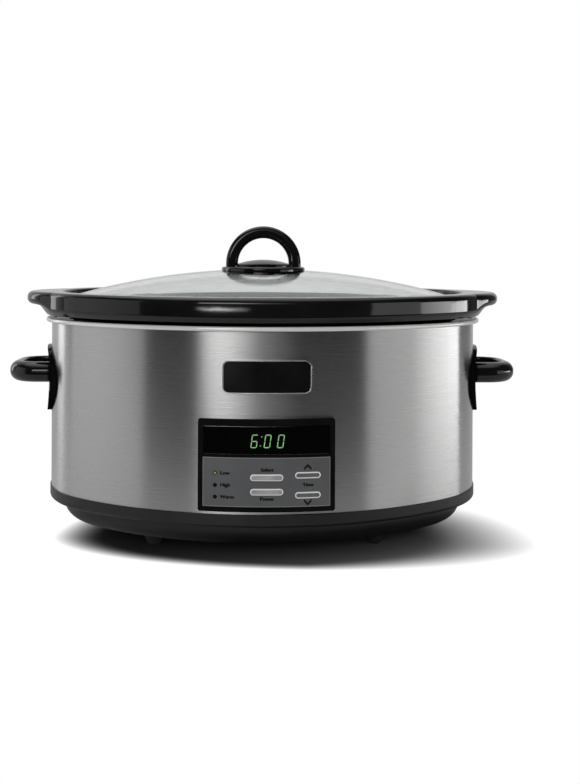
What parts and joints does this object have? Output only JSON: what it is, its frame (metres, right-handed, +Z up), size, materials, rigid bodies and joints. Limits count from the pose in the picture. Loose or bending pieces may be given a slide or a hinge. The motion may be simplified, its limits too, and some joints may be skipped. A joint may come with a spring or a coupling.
{
  "type": "slow cooker",
  "caption": "Oval countertop slow cooker with a lift-out stoneware crock, a domed glass lid, side handles and a push-button control panel with a display.",
  "frame": {"origin": "on the table, under the middle of the cooker", "axes": "+X to the right of someone facing the panel, +Y to the back, +Z up"},
  "size_m": [0.4412, 0.2858, 0.2603],
  "materials": {
    "brushed_steel": "brushed along the wrap",
    "liner_metal": "bright rolled sheet",
    "base_plastic": "satin moulded",
    "gloss_black": "glossy moulded",
    "stoneware": "glossy glaze",
    "lid_glass": "clear tempered",
    "foot_rubber": "matte",
    "fascia_grey": "fine satin",
    "lens_black": "smoked and glossy",
    "button_silver": "satin silver",
    "badge_rim": "polished",
    "badge_black": "glossy, bare",
    "lamp_green": "tinted, lit",
    "lamp_dark": "tinted, unlit",
    "circuit_board": "solder mask",
    "component_black": "moulded",
    "coil_core": "varnished",
    "can_sleeve": "sleeved",
    "zinc_steel": "zinc plated",
    "heater_mica": "foil faced",
    "fuse_body": "plain",
    "seal_silicone": "matte"
  },
  "bodies": {
    "heating_base": {"outer_shell": "brushed_steel", "base_housing": "base_plastic", "foot_front_left": "foot_rubber", "foot_front_right": "foot_rubber", "foot_rear_left": "foot_rubber", "foot_rear_right": "foot_rubber", "liner_pan": "liner_metal", "heater_band": "heater_mica", "liner_posts": "zinc_steel", "base_screws": "zinc_steel", "cord_gland": "foot_rubber", "power_board": "circuit_board", "relay": "component_black", "transformer": "coil_core", "terminal_block": "component_black", "filter_capacitor": "can_sleeve", "temp_sensor": "zinc_steel", "sensor_strap": "zinc_steel", "thermal_fuse": "fuse_body", "fuse_clip": "zinc_steel", "right_handle": "gloss_black", "left_handle": "gloss_black", "handle_screws": "zinc_steel", "badge_frame": "badge_rim", "badge_face": "badge_black", "bezel": "gloss_black", "fascia": "fascia_grey", "display_lens": "lens_black", "led_low": "lamp_green", "led_high": "lamp_dark", "led_warm": "lamp_dark", "control_board": "circuit_board", "display_module": "component_black", "tact_switches": "component_black", "control_screws": "zinc_steel"},
    "crock": {"crock": "stoneware"},
    "lid": {"lid_glass": "lid_glass", "lid_handle": "gloss_black", "lid_gasket": "seal_silicone", "lid_washer": "zinc_steel", "lid_screw": "zinc_steel"},
    "select_button": {"select_button": "button_silver"},
    "power_button": {"power_button": "button_silver"},
    "time_up_button": {"time_up_button": "button_silver"},
    "time_down_button": {"time_down_button": "button_silver"}
  },
  "joints": [
    {"name": "crock_lift", "type": "slide", "parent": "heating_base", "child": "crock", "axis": [0, 0, 1], "range_m": [0, 0.2]},
    {"name": "lid_lift", "type": "slide", "parent": "crock", "child": "lid", "axis": [0, 0, 1], "range_m": [0, 0.12]},
    {"name": "select_press", "type": "slide", "parent": "heating_base", "child": "select_button", "axis": [0, 1, 0], "range_m": [0, 0.0005], "stiffness_N_per_m": 800},
    {"name": "power_press", "type": "slide", "parent": "heating_base", "child": "power_button", "axis": [0, 1, 0], "range_m": [0, 0.0005], "stiffness_N_per_m": 800},
    {"name": "time_up_press", "type": "slide", "parent": "heating_base", "child": "time_up_button", "axis": [0, 1, 0], "range_m": [0, 0.0005], "stiffness_N_per_m": 800},
    {"name": "time_down_press", "type": "slide", "parent": "heating_base", "child": "time_down_button", "axis": [0, 1, 0], "range_m": [0, 0.0005], "stiffness_N_per_m": 800}
  ]
}
